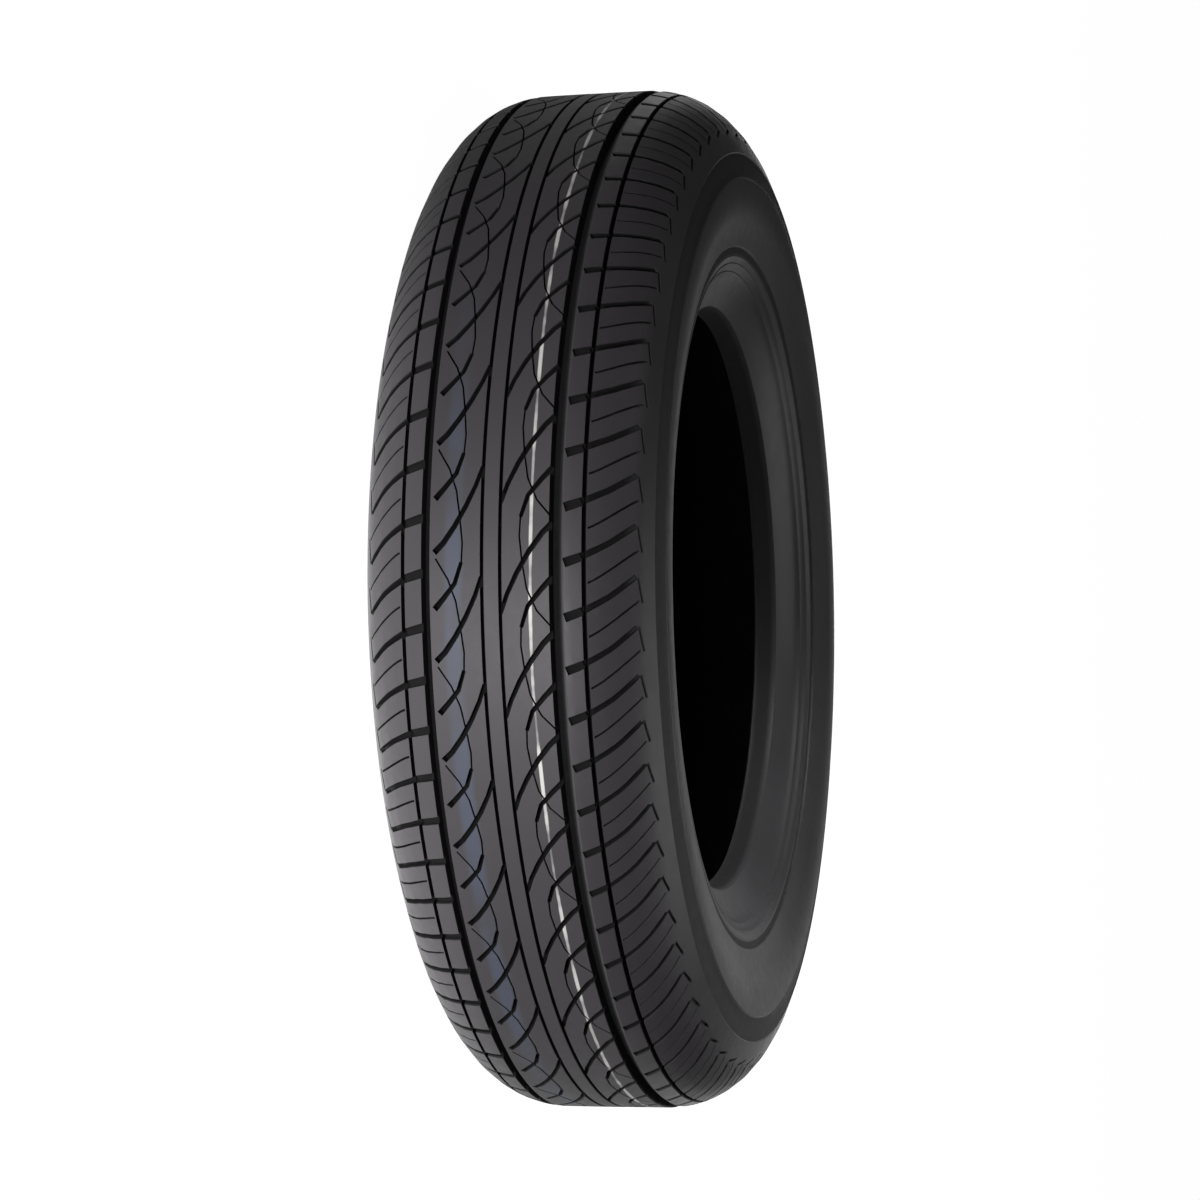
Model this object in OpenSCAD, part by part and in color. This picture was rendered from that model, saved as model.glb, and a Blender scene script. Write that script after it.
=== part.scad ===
// Car tyre, one vulcanised rubber moulding, lying on its sidewall.
// Millimetres. The spin axis is +Z and the origin is the middle of the tyre.

/* [Tyre size] */
// outside diameter over the tread
outside_d = 578; // [520:2:640]
// width over the two sidewalls
section_w = 158; // [146:1:176]
// diameter of the bead seats, that of the rim
bead_d = 329.4; // [304:0.2:340]
// width between the outer faces of the beads, that of the rim
rim_w = 114.3; // [102:0.1:122]
// diameter where the sidewalls are widest
widest_d = 464; // [440:2:480]

/* [Tread section] */
// width of the flat middle of the tread
flat_w = 52; // [30:1:64]
// squareness of the shoulder, where 2 is an ellipse
shoulder_square = 2.25; // [2:0.05:3]

/* [Wall thickness] */
// rubber and belts at the middle of the tread
crown_t = 14.5; // [12:0.5:18]
// rubber and plies where the sidewall is widest
sidewall_t = 6; // [4.5:0.5:9]
// length of the bead from heel to toe
bead_l = 13; // [11:0.5:16]

/* [Circumferential grooves] */
// depth of the two main grooves
main_depth = 7.5; // [5:0.5:9]
// width of a main groove
main_w = 4.6; // [2.6:0.2:6]
// width of the chamfer on the outer edge of the upper main groove
main_chamfer = 2.6; // [1:0.2:3.6]
// distance of the main grooves from the middle
main_z = 33.2; // [28:0.2:38]
// shift of both main grooves towards the upper side
main_shift = -1; // [-2:0.5:2]
// depth of the narrow grooves
narrow_depth = 6.5; // [4:0.5:8]
// width of the narrow grooves
narrow_w = 2.2; // [1:0.1:3]
// distance of the narrow grooves from the main grooves, before their shift
narrow_gap = 13.8; // [10:0.2:18]
// depth of the fine lines beside the centre rib
rib_line_depth = 5.5; // [3:0.5:8]
// width of the fine lines beside the centre rib
rib_line_w = 1.9; // [0.8:0.1:2.5]
// distance of the fine lines from the middle
rib_z = 4.7; // [3.5:0.1:8]

/* [Tread pattern] */
// how often the pattern repeats round the tyre
pitches = 35; // [26:1:42]
// change of pitch length round the tyre, in percent
pitch_change = 8.4; // [0:0.2:12]
// how often the pitch length rises and falls in one turn
pitch_waves = 5; // [1:1:8]
// turn of the whole pattern about the axis
pattern_turn = -97; // [-180:1:180]
// turn of the lower half of the pattern against the upper half
lower_shift = 4.6; // [-26:0.2:26]
// width of the curved grooves between the main grooves
curve_w = 3.2; // [1.6:0.1:4]
// depth of the curved grooves
curve_depth = 6.5; // [4:0.5:7.5]
// width of the sipes that wind between the curved grooves
sipe_w = 0.9; // [0.6:0.1:1.4]
// depth of the sipes
sipe_depth = 5; // [3:0.5:7]
// width of the cross grooves on the shoulders
cross_w = 3.4; // [1.6:0.1:4.5]
// depth of the cross grooves on the shoulders
cross_depth = 6; // [4:0.5:7]
// width of the cross grooves over their tie bars
tie_w = 4.6; // [2:0.2:6]
// depth of the cross grooves over their tie bars
tie_depth = 2.5; // [1.5:0.5:4]

/* [Sidewall] */
// depth of the recessed band on the upper sidewall
band_depth = 0.6; // [0.3:0.1:1]
// distance of the recessed band from the widest place
band_rise = 6; // [3:0.5:10]
// width of the recessed band
band_w = 14; // [8:0.5:20]
// height of the fine rings that show how true the tyre sits on its rim
rim_line_h = 0.6; // [0.3:0.1:1]

/* [Show] */
// sub-part to show

/* [Hidden] */
outside_r = outside_d / 2;
half_w = section_w / 2;
widest_r = widest_d / 2;
bead_r = bead_d / 2;
rim_half = rim_w / 2;
flat_half = flat_w / 2;
narrow_z = main_z + narrow_gap;
band_in_r = widest_r + band_rise;
band_out_r = band_in_r + band_w;
// place where the tread ends at the outer edge of the band
shoulder_z = sidewall_z(band_out_r + 0.4);
// lengths along the pattern are for this length of one pitch
nominal_pitch = 52;
pitch_a = 360 / pitches;
pitch_lead = 15;

// point at t on the curve that four control points draw
function bezier(p, t) =
    pow(1 - t, 3) * p[0] + 3 * t * pow(1 - t, 2) * p[1]
    + 3 * t * t * (1 - t) * p[2] + pow(t, 3) * p[3];

function curve(p, n) = [for (i = [0 : n]) bezier(p, i / n)];

// radius at z of an arch that is flat to start_z and ends upright at wide_z
function arch_r(top_r, wide_r, start_z, wide_z, z) =
    let (t = max(0, z - start_z) / (wide_z - start_z))
    wide_r + (top_r - wide_r) * sqrt(max(0, 1 - pow(t, shoulder_square)));

function outer_r(z) = arch_r(outside_r, widest_r, flat_half, half_w, z);

function inner_r(z) =
    arch_r(outside_r - crown_t, widest_r + 1, flat_half - 2, half_w - sidewall_t, z);

// places on the tread at the given shares of the way from z0 to z1, as [r, z]
function tread_points(z0, z1, shares) =
    [for (s = shares) let (z = z0 + (z1 - z0) * s) [outer_r(z), z]];

// notch for a groove round the tyre, in the section from z - w / 2 to z + w / 2
function notch(z, w, depth, slope) =
    let (r = outer_r(z) - depth)
    [[outer_r(z - w / 2), z - w / 2], [r, z - w / 2 + slope],
     [r, z + w / 2 - slope], [outer_r(z + w / 2), z + w / 2]];

// notch for a main groove, with a chamfer of width c on its outer edge
function main_notch(z, c) =
    let (p = notch(z, main_w, main_depth, 0.4), out = p[3])
    c == 0 ? p : [p[0], p[1], p[2], out - [0.8 * c, 0], [outer_r(out[1] + c), out[1] + c]];

// half of the tread and shoulder, with its main groove at main
function half_tread(main, chamfer) = concat(
    notch(rib_z, rib_line_w, rib_line_depth, 0),
    main_notch(main, chamfer),
    tread_points(main + main_w / 2 + chamfer, narrow_z - narrow_w / 2, [0.35]),
    notch(narrow_z, narrow_w, narrow_depth, 0),
    tread_points(narrow_z, shoulder_z, [0.24, 0.48, 0.7, 0.86]));

// recessed band and the step at each of its edges
band = [
    [band_out_r + 0.4, shoulder_z],
    for (r = [band_out_r - 0.4, (band_out_r + band_in_r) / 2, band_in_r + 0.4])
        [r, sidewall_z(r) - band_depth],
    [band_in_r - 0.4, sidewall_z(band_in_r - 0.4)]];

// distance of the sidewall from the middle at radius r, above its widest place
function sidewall_z(r) =
    let (c = (r - widest_r) / (outside_r - widest_r))
    flat_half + (half_w - flat_half) * pow(1 - c * c, 1 / shoulder_square);

// sidewall from its widest place over the step at step_r to the heel of the bead
step_r = bead_r + 35.3;
upper_h = widest_r - step_r;
foot = concat(
    curve([[widest_r, half_w], [widest_r - 0.44 * upper_h, half_w],
           [widest_r - 0.62 * upper_h, half_w - 5], [step_r, half_w - 6.4]], 4),
    [[step_r - 1, half_w - 7.6]],
    curve([[step_r - 6, half_w - 7.6], [bead_r + 24, half_w - 9],
           [bead_r + 14, rim_half + 3], [bead_r + 6, rim_half]], 5));

// two fine rings just outside the edge of the rim
rim_lines = [for (r = [bead_r + 25, bead_r + 20.5])
    for (p = [[1, 0], [0.3, 1], [-0.3, 1], [-1, 0]])
        [r + p[0], foot_z(r + p[0]) + p[1] * rim_line_h]];

function foot_z(r) = lookup(r, foot);

heel = [[bead_r + 1.8, rim_half - 1.8], [bead_r, rim_half - 6]];

toe = [[bead_r, rim_half - bead_l + 2], [bead_r - 1.3, rim_half - bead_l - 1],
       [bead_r + 0.8, rim_half - bead_l - 2]];

// inside of the tyre from the toe up to the middle of the tread
inside_h = widest_r - bead_r - 8;
half_inside = concat(
    curve([[bead_r + 9, rim_half - bead_l], [bead_r + 9 + inside_h / 4, rim_half - 6],
           [bead_r + 9 + inside_h * 0.48, half_w - sidewall_t - 1],
           [widest_r + 1, half_w - sidewall_t]], 6),
    [for (s = [0.97, 0.88, 0.74, 0.56, 0.34, 0.1])
        let (z = flat_half + (half_w - sidewall_t - flat_half) * s) [inner_r(z), z]]);

function half_section(main, chamfer) = concat(
    half_tread(main, chamfer), band, [for (p = foot) if (p[0] > bead_r + 27) p],
    rim_lines, [for (p = foot) if (p[0] < bead_r + 18.5) p], heel, toe, half_inside);

function mirrored(p) = [for (i = [len(p) - 1 : -1 : 0]) [p[i][0], -p[i][1]]];

// tyre with its circumferential grooves only
module carcass() {
    rotate_extrude($fn = 180)
        polygon(concat(half_section(main_z + main_shift, main_chamfer),
                       mirrored(half_section(main_z - main_shift, 0))));
}

// angle round the tyre of a length along the pattern
function angle_at(b) =
    let (a = b / nominal_pitch * pitch_a)
    pattern_turn + a
    + pitch_change / 100 / pitch_waves * 180 / PI * sin(pitch_waves * a + pitch_lead);

// tilt of the tread surface at z
function tilt_at(z) = atan((outer_r(z - 1) - outer_r(z + 1)) / 2);

// way out from the middle line to the side of a groove, across from a to b
function to_side(a, b, w) = let (d = b - a) [-d[1], d[0]] * w / 2 / norm(d);

// outline of a groove round its middle line, with a width at each end
function groove_outline(m, w0, w1) =
    let (n = len(m) - 1,
         side = [for (i = [0 : n])
             to_side(m[max(i - 1, 0)], m[min(i + 1, n)], w0 + (w1 - w0) * i / n)])
    concat([for (i = [0 : n]) m[i] + side[i]], [for (i = [n : -1 : 0]) m[i] - side[i]]);

// cutter for one groove, which stands square on the tread; m is its middle
// line as [across, along], and lower turns it half round onto the lower half
module groove(m, start, w, depth, lower) {
    n = len(m) - 1;
    mid = (m[0][1] + m[n][1]) / 2;
    z = (m[0][0] + m[n][0]) / 2;
    r = outer_r(z);
    tilt = tilt_at(z);
    way = lower ? -1 : 1;
    base = lower ? lower_shift - start - mid : start + mid;
    base_a = angle_at(base);
    outline = [for (p = groove_outline(m, w[0], w[1]))
        let (a = angle_at(base + way * (p[1] - mid)) - base_a, pr = outer_r(p[0]))
        [sin(a) * pr, (p[0] - z) * cos(tilt) - (pr - r) * sin(tilt)]];
    rotate([0, 0, base_a])
        mirror([0, 0, lower ? 1 : 0])
        translate([r, 0, z])
        rotate([0, -tilt, 0])
        translate([-depth, 0, 0])
        rotate([90, 0, 90])
        linear_extrude(depth + 4)
        polygon(outline);
}

// grooves of one pitch between the centre rib and a main groove: the long
// curve, the hook and the sipe that winds from the hook to the main groove
module centre_grooves(start, lower) {
    end_z = lower ? main_z - main_shift - main_w / 2 - 2.5 : main_z;
    end_b = lower ? 3 : 0;
    long = [[end_z, end_b - 6.3], [22.5, 1], [8.5, 24], [rib_z + 0.3, 37]];
    hook = [[end_z, end_b - 33], [26, -25], [16.5, -20], [15.3, -8]];
    sipe = [[15.3, -9], [14.5, -3], [14.4, 4], [16.2, 13]];
    sipe_end = [[16.2, 13], [17.5, 27], [21, 36], [end_z - 0.6, 46]];
    groove(curve(long, 5), start, [curve_w, 2.2], curve_depth, lower);
    groove(curve(hook, 3), start, [curve_w, 2], curve_depth, lower);
    groove(concat(curve(sipe, 2), [for (i = [1 : 3]) curve(sipe_end, 3)[i]]),
           start, [sipe_w, sipe_w], sipe_depth, lower);
}

// one cross groove on a shoulder, shallow over its tie bar
module cross_groove(start, lower) {
    tie_z = lower ? main_z : main_z + main_shift + main_w / 2 + main_chamfer + 0.4;
    end_z = shoulder_z - 6.4;
    cross = [[narrow_z - 0.3, -1.8], [narrow_z + 7, -4], [end_z - 6.5, -11], [end_z, -18.5]];
    groove([[tie_z, 1.4], [narrow_z, -1.9]], start, [tie_w, tie_w - 0.4], tie_depth, lower);
    groove(curve(cross, 2), start, [cross_w, 2.4], cross_depth, lower);
}

module tyre() {
    color("#26262a")
        difference() {
            carcass();
            for (lower = [false, true])
                for (i = [0 : pitches - 1]) {
                    start = i * nominal_pitch;
                    centre_grooves(start, lower);
                    cross_groove(start - 13.5, lower);
                    cross_groove(start + nominal_pitch / 2 - 13.5, lower);
                }
        }
}

tyre();
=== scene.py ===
import math

import bmesh
import bpy
from mathutils import Matrix, Vector


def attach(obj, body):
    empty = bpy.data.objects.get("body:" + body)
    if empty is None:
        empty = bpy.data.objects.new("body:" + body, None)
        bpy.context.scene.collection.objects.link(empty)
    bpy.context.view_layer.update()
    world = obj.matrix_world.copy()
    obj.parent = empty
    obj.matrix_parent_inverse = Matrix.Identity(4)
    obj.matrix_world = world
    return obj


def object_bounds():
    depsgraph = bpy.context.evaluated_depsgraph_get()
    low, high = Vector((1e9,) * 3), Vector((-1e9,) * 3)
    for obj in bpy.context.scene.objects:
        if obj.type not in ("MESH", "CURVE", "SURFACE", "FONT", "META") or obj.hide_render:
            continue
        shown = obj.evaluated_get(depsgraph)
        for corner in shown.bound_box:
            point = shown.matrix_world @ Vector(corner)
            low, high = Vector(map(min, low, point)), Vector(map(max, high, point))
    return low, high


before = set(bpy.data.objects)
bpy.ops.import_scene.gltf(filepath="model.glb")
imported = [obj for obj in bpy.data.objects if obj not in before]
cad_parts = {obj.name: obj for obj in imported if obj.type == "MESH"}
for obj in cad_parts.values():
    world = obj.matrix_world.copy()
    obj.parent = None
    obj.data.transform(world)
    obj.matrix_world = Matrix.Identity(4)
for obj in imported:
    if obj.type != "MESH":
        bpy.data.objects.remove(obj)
cad_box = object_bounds()

# Camera. The tyre lies on its sidewall, and the photograph shows it upright, so
# the camera is rolled a quarter turn: its right is up from the floor, and it
# looks a little down on the upper sidewall and into the bore.
camera = bpy.data.objects.new("camera", bpy.data.cameras.new("camera"))
bpy.context.collection.objects.link(camera)
camera.data.sensor_width = 36
camera.data.lens = 111.29
camera_place = (0, -2.07473, 0.49576)
right = Vector((0.01988, 0.23903, 0.97081))
back = Vector((0.00008, -0.971, 0.23907))
camera.matrix_world = (Matrix.Translation(camera_place)
                       @ Matrix((right, back.cross(right), back)).transposed().to_4x4())
bpy.context.scene.camera = camera
bpy.context.scene.view_settings.view_transform = "Standard"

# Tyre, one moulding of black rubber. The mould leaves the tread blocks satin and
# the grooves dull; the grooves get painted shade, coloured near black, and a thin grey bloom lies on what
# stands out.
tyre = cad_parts["tyre"]
outside_r, widest_r = 0.289, 0.232
flat_half, half_w, square = 0.026, 0.079, 2.25
tread_end_r, tread_end_z = 0.265, 0.0745
block_depth, groove_depth = 0.0005, 0.0010
band_in_r, band_out_r = 0.2384, 0.2516
step_in_r, step_out_r = 0.1955, 0.1995
seat_r = 0.1655
sidewall_z = 0.064
rubber_black, rubber_bloom = (0.040, 0.040, 0.042), (0.055, 0.054, 0.057)
block_top, groove_painted_shade = (0.058, 0.0515, 0.0575), (0.003, 0.003, 0.0035)
recess_painted_shade = (0.008, 0.008, 0.009)
blue_z, blue_half, blue_paint = -0.020, 0.0042, (0.068, 0.078, 0.115)
white_z, white_paint = 0.0205, (0.72, 0.71, 0.69)


def tread_r(z):
    """Radius of tread and shoulder at the height z, on the curve of the solid."""
    t = max(0, abs(z) - flat_half) / (half_w - flat_half)
    return widest_r + (outside_r - widest_r) * math.sqrt(max(0, 1 - t ** square))


rubber = bpy.data.materials.new("black_rubber")
rubber.use_nodes = True
nodes, links = rubber.node_tree.nodes, rubber.node_tree.links
shader = nodes["Principled BSDF"]
place = nodes.new("ShaderNodeTexCoord").outputs["Object"]
across = nodes.new("ShaderNodeSeparateXYZ")
links.new(place, across.inputs[0])


def calc(operation, *values):
    node = nodes.new("ShaderNodeMath")
    node.operation = operation
    for socket, value in zip(node.inputs, values):
        if isinstance(value, (int, float)):
            socket.default_value = value
        else:
            links.new(value, socket)
    return node.outputs[0]


def ramp(value, low, high):
    """0 where value is at or under low, 1 at or over high."""
    node = nodes.new("ShaderNodeMapRange")
    node.interpolation_type = "SMOOTHSTEP"
    node.inputs["From Min"].default_value = low
    node.inputs["From Max"].default_value = high
    links.new(value, node.inputs["Value"])
    return node.outputs["Result"]


def noise(scale, detail=3.0):
    node = nodes.new("ShaderNodeTexNoise")
    node.inputs["Scale"].default_value = scale
    node.inputs["Detail"].default_value = detail
    links.new(place, node.inputs["Vector"])
    return node.outputs["Fac"]


def mix(mask, a, b):
    node = nodes.new("ShaderNodeMix")
    node.data_type = "RGBA"
    links.new(mask, node.inputs["Factor"])
    for socket, value in zip(node.inputs[6:8], (a, b)):
        if isinstance(value, tuple):
            socket.default_value = (*value, 1)
        else:
            links.new(value, socket)
    return node.outputs[2]


# depth is how far under the uncut tread a point lies, by the formula of tread_r
x, y, z = across.outputs
radius = calc("SQRT", calc("ADD", calc("MULTIPLY", x, x), calc("MULTIPLY", y, y)))
height = calc("ABSOLUTE", z)
share = calc("DIVIDE", calc("MAXIMUM", calc("SUBTRACT", height, flat_half), 0.0), half_w - flat_half)
surface = calc("ADD", widest_r, calc("MULTIPLY", outside_r - widest_r, calc(
    "SQRT", calc("MAXIMUM", calc("SUBTRACT", 1.0, calc("POWER", share, square)), 0.0))))
depth = calc("SUBTRACT", surface, radius)
on_tread = calc("MULTIPLY", ramp(radius, tread_end_r - 0.003, tread_end_r + 0.003),
                ramp(calc("SUBTRACT", 0.0, height), -tread_end_z - 0.001, -tread_end_z + 0.0015))
in_groove = calc("MULTIPLY", ramp(depth, groove_depth - 0.0006, groove_depth + 0.0006), on_tread)
under_top = ramp(depth, block_depth - 0.0002, block_depth + 0.0002)
on_block = calc("MULTIPLY", calc("SUBTRACT", 1.0, under_top), on_tread)

colour = mix(ramp(noise(9.0), 0.35, 0.7), rubber_black, rubber_bloom)
colour = mix(calc("MULTIPLY", on_block, 0.8), colour, block_top)
# painted shade: groove walls and floors are coloured near black, where shade falls in the grooves
colour = mix(in_groove, colour, groove_painted_shade)


def ring(low, high):
    """1 on a ring of each sidewall, from radius low to radius high."""
    blur = 0.0003
    inside = calc("MULTIPLY", ramp(radius, low - blur, low + blur), ramp(radius, high + blur, high - blur))
    return calc("MULTIPLY", inside, ramp(height, sidewall_z - 0.002, sidewall_z + 0.002))


# painted shade: the recessed band of each sidewall, the corner inside its step and the bead seats are
# coloured dark where shade falls, and they are dull
recess = calc("ADD", calc("MULTIPLY", ring(band_in_r, band_out_r), 0.75),
              calc("MULTIPLY", ring(step_in_r, step_out_r), 0.85))
recess = calc("ADD", recess, calc("MULTIPLY", ramp(radius, seat_r + 0.0007, seat_r - 0.0007), 0.85))
# painted shade in the sidewall recesses, the step corner and the bead seats
colour = mix(recess, colour, recess_painted_shade)

# two marking stripes, painted on the tread and worn thin: dull blue and white
sway = calc("MULTIPLY_ADD", noise(7.0, 1.0), 0.003, -0.0015)
off_blue = calc("ABSOLUTE", calc("ADD", calc("SUBTRACT", z, blue_z), sway))
blue_edge = ramp(off_blue, blue_half - 0.002, blue_half + 0.002)
blue = calc("MULTIPLY", calc("SUBTRACT", 1.0, blue_edge), on_block)
blue_left = calc("MULTIPLY", ramp(noise(25.0), 0.2, 0.6), ramp(x, -0.2, -0.02))
colour = mix(calc("MULTIPLY", blue, blue_left), colour, blue_paint)
off_white = calc("ABSOLUTE", calc("ADD", calc("SUBTRACT", z, white_z), sway))
worn = ramp(noise(45.0), 0.3, 0.6)
half_line = calc("MULTIPLY_ADD", worn, 0.0005, 0.0005)
white_line = calc("MULTIPLY", ramp(calc("SUBTRACT", half_line, off_white), -0.0002, 0.0003), on_block)
colour = mix(calc("MULTIPLY", white_line, calc("MULTIPLY_ADD", worn, 0.75, 0.25)), colour, white_paint)
links.new(colour, shader.inputs["Base Color"])

# roughness: the sidewall is the smoothest, and the groove walls the dullest
moulded_dull = calc("MULTIPLY_ADD", recess, 0.25, calc("MULTIPLY_ADD", in_groove, 0.45, 0.30))
dull = calc("MULTIPLY_ADD", on_tread, 0.10, moulded_dull)
links.new(calc("MULTIPLY_ADD", noise(160.0), 0.16, dull), shader.inputs["Roughness"])

grain = nodes.new("ShaderNodeBump")
grain.inputs["Strength"].default_value = 0.12
grain.inputs["Distance"].default_value = 0.0005
links.new(noise(900.0, 4.0), grain.inputs["Height"])
links.new(grain.outputs["Normal"], shader.inputs["Normal"])

tyre.data.materials.clear()
tyre.data.materials.append(rubber)

# Shoulder sipes, fine cuts that steel blades in the mould leave between the
# cross grooves, and the short strokes that edge the tread blocks.
pitches, nominal_pitch, sipe_start = 35, 52, -13.5
pattern_turn, lower_shift = -97, 4.6
pitch_waves, pitch_swing, pitch_lead = 5, 0.963, 15
sipe_line = [(48.8, -15), (54, -17), (63, -24), (70.5, -32)]
stroke_line = [(70.2, -18.5), (70.7, -14), (71.3, -9), (71.8, -5)]


def angle(b):
    """Angle of the pattern round the tyre at the length b along it; the pitch swings in waves."""
    a = b / nominal_pitch * 360 / pitches
    swing = pitch_swing * math.sin(math.radians(pitch_waves * a + pitch_lead))
    return math.radians(pattern_turn + a + swing)


def cut_along(mesh, points, start, lower, width, depth):
    """Adds to mesh a closed blade that follows points, given as [across, along] in mm."""
    above = 0.002
    spots = []
    for c, b in points:
        b = lower_shift - start - b if lower else start + b
        a, r, c = angle(b), tread_r(c / 1000), (-c if lower else c) / 1000
        tilt = (tread_r(c - 0.001) - tread_r(c + 0.001)) / 0.002
        out = Vector((math.cos(a), math.sin(a), tilt)).normalized()
        spots.append((Vector((math.cos(a) * r, math.sin(a) * r, c)), out))
    rings = []
    for i, (p, out) in enumerate(spots):
        way = spots[min(i + 1, len(spots) - 1)][0] - spots[max(i - 1, 0)][0]
        side = out.cross(way).normalized() * width / 2
        rings.append([mesh.verts.new(p + side * s + out * h)
                      for s, h in ((-1, -depth), (1, -depth), (1, above), (-1, above))])
    for one, two in zip(rings, rings[1:]):
        for i in range(4):
            mesh.faces.new((one[i], one[i - 1], two[i - 1], two[i]))
    mesh.faces.new(rings[0])
    mesh.faces.new(rings[-1][::-1])


def bezier(p, n):
    """n steps along the curve with the four control points p."""
    curve = []
    for t in (i / n for i in range(n + 1)):
        weights = ((1 - t) ** 3, 3 * t * (1 - t) ** 2, 3 * t * t * (1 - t), t ** 3)
        curve.append([sum(w * q[k] for w, q in zip(weights, p)) for k in (0, 1)])
    return curve


for name, points, width, cut in [
    ("sipe_blades", bezier(sipe_line, 6), 0.0011, 0.004),
    ("edge_strokes", bezier(stroke_line, 4), 0.0017, 0.0022),
]:
    mesh = bmesh.new()
    for lower in (False, True):
        for i in range(2 * pitches):
            cut_along(mesh, points, i * nominal_pitch / 2 + sipe_start, lower, width, cut)
    bmesh.ops.recalc_face_normals(mesh, faces=mesh.faces)
    blades = bpy.data.objects.new(name, bpy.data.meshes.new(name))
    mesh.to_mesh(blades.data)
    mesh.free()
    bpy.context.collection.objects.link(blades)
    blades.hide_render = blades.hide_viewport = True
    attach(blades, "root")
    if not tyre.modifiers:
        tyre.modifiers.new("weld", "WELD").merge_threshold = 0.000002
    boolean = tyre.modifiers.new(name, "BOOLEAN")
    boolean.operation, boolean.solver, boolean.object = "DIFFERENCE", "MANIFOLD", blades
tyre.modifiers.new("edges", "EDGE_SPLIT").split_angle = math.radians(32)

# Floor, a plain white table under the tyre. Its glow lights the tread from below,
# less far from the tyre's middle, and more where the far sidewall mirrors it.
floor = bpy.data.objects.new("floor", bpy.data.meshes.new("floor"))
bpy.context.collection.objects.link(floor)
floor_z = cad_box[0][2]
corners = [(-6, -6), (6, -6), (6, 8), (-6, 8)]
floor.data.from_pydata([(*c, floor_z) for c in corners], [], [(0, 1, 2, 3)])
white = bpy.data.materials.new("white_table")
white.use_nodes = True
floor.data.materials.append(white)
nodes, links = white.node_tree.nodes, white.node_tree.links
nodes.clear()
output = nodes.new("ShaderNodeOutputMaterial")
both = nodes.new("ShaderNodeAddShader")
rays = nodes.new("ShaderNodeLightPath")
matt = nodes.new("ShaderNodeBsdfDiffuse")
matt.inputs["Color"].default_value = (0.8, 0.8, 0.8, 1)
glow = nodes.new("ShaderNodeEmission")
seat = nodes.new("ShaderNodeSeparateXYZ")
links.new(nodes.new("ShaderNodeTexCoord").outputs["Object"], seat.inputs[0])
floor_white, bore_r = 0.95, 0.16
glow_x, glow_reach, glow_middle, glow_far, glow_behind, glow_mirrored = 0.1, 0.42, 1.35, 0.1, 1.6, 8.0
floor_x, floor_y = seat.outputs["X"], seat.outputs["Y"]
far = ramp(calc("ABSOLUTE", calc("SUBTRACT", floor_x, glow_x)), 0.0, glow_reach)
lit = calc("MULTIPLY_ADD", far, glow_far - glow_middle, glow_middle)
lit = calc("ADD", lit, calc("MULTIPLY", ramp(floor_y, 0.3, 0.9), glow_behind))
away = calc("SQRT", calc("ADD", calc("POWER", floor_x, 2.0), calc("POWER", floor_y, 2.0)))
lit = calc("MULTIPLY", lit, calc("MULTIPLY_ADD", ramp(away, bore_r, bore_r + 0.04), 0.8, 0.2))
behind = calc("MULTIPLY", ramp(floor_y, 0.45, 0.85), ramp(calc("ABSOLUTE", floor_x), 0.34, 0.12))
lit = calc("MULTIPLY_ADD", calc("MULTIPLY", behind, rays.outputs["Is Glossy Ray"]), glow_mirrored, lit)
unseen = calc("SUBTRACT", 1.0, rays.outputs["Is Camera Ray"])
seen = calc("MULTIPLY", rays.outputs["Is Camera Ray"], floor_white)
links.new(calc("ADD", seen, calc("MULTIPLY", unseen, lit)), glow.inputs["Strength"])
links.new(matt.outputs[0], both.inputs[0])
links.new(glow.outputs[0], both.inputs[1])
links.new(both.outputs[0], output.inputs["Surface"])

# Lamps. A low, wide box stands in front of the tread's middle, under the height
# of the upper bead. The sidewall mirrors a wide box behind and has a weak one over it.
# A narrow beam from over the bore lights the bead on the side that is lowest in the picture.
for name, spot, aim, size, power, spread in [
    ("key", (0.2, -1.7, 0.02), (0.04, -0.28, -0.02), (0.5, 0.18), 11, 180),
    ("back", (0.6, 2.3, 0.4), (0.15, 0.0, 0.08), (1.7, 0.7), 1.5, 180),
    ("sky", (0.5, 0.7, 1.65), (0.05, 0.05, 0.08), (1.2, 1.2), 4.3, 180),
    ("bead", (-0.3, -0.1, 0.55), (0.2, 0.0, 0.06), (0.25, 0.25), 0.35, 45),
]:
    lamp = bpy.data.objects.new(name, bpy.data.lights.new(name, "AREA"))
    bpy.context.collection.objects.link(lamp)
    lamp.data.shape = "RECTANGLE"
    lamp.data.size, lamp.data.size_y = size
    lamp.data.energy = power
    lamp.data.spread = math.radians(spread)
    lamp.location = spot
    lamp.rotation_euler = (Vector(aim) - Vector(spot)).to_track_quat("-Z", "Y").to_euler()

world = bpy.data.worlds.new("studio")
bpy.context.scene.world = world
world.use_nodes = True
nodes, links = world.node_tree.nodes, world.node_tree.links
rays = nodes.new("ShaderNodeLightPath")
background = nodes["Background"]
background.inputs["Color"].default_value = (1, 1, 1, 1)
world_light = 0.05
strength = calc("MULTIPLY_ADD", rays.outputs["Is Camera Ray"], 1 - world_light, world_light)
links.new(strength, background.inputs["Strength"])
